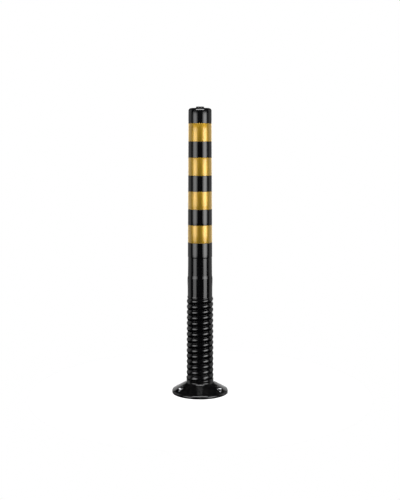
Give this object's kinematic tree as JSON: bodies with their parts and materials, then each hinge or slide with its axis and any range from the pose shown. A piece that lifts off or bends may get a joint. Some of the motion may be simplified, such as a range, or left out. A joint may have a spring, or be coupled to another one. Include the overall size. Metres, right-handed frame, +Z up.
{
  "type": "delineator post",
  "caption": "Flexible delineator post with a bolted flared foot, a helically corrugated lower length that bends and springs back, and reflective bands.",
  "frame": {"origin": "centre of the foot's underside, on the ground plane", "axes": "+Z up along the post; -Y towards the side between the two front bolts"},
  "size_m": [0.2, 0.2, 1.005],
  "materials": {
    "moulded_black": "glossy black flexible polyurethane moulding",
    "plug_black": "glossy black push-in plug",
    "reflective_yellow": "yellow retroreflective sheeting",
    "zinc_steel": "bright zinc plate"
  },
  "bodies": {
    "base": {"base_flange": "moulded_black", "base_reinforcing_ring": "zinc_steel", "anchor_bolts": "zinc_steel", "spring_washers": "zinc_steel", "plain_washers": "zinc_steel", "flex_span_1": "moulded_black"},
    "bend_1": {"flex_span_2": "moulded_black"},
    "bend_2": {"flex_span_3": "moulded_black"},
    "bend_3": {"flex_span_4": "moulded_black"},
    "post": {"upper_tube": "moulded_black", "top_plug": "plug_black", "reflective_band_1": "reflective_yellow", "reflective_band_2": "reflective_yellow", "reflective_band_3": "reflective_yellow", "reflective_band_4": "reflective_yellow"}
  },
  "joints": [
    {"name": "lean_forward", "type": "hinge", "parent": "base", "child": "bend_1", "pos_m": [0, 0, 0.092], "axis": [1, 0, 0], "range_deg": [-45, 45], "stiffness_Nm_per_rad": 100, "deforming": ["flex_span_1"]},
    {"name": "lean_forward_upper", "type": "hinge", "parent": "bend_1", "child": "bend_2", "pos_m": [0, 0, 0.164], "axis": [1, 0, 0], "range_deg": [-45, 45], "stiffness_Nm_per_rad": 100, "deforming": ["flex_span_2"]},
    {"name": "lean_sideways", "type": "hinge", "parent": "bend_2", "child": "bend_3", "pos_m": [0, 0, 0.236], "axis": [0, 1, 0], "range_deg": [-45, 45], "stiffness_Nm_per_rad": 100, "deforming": ["flex_span_3"]},
    {"name": "lean_sideways_upper", "type": "hinge", "parent": "bend_3", "child": "post", "pos_m": [0, 0, 0.308], "axis": [0, 1, 0], "range_deg": [-45, 45], "stiffness_Nm_per_rad": 100, "deforming": ["flex_span_4"]}
  ],
  "couplings": [
    {"joint": "lean_forward_upper", "follows": "lean_forward", "ratio": 1},
    {"joint": "lean_sideways_upper", "follows": "lean_sideways", "ratio": 1}
  ]
}
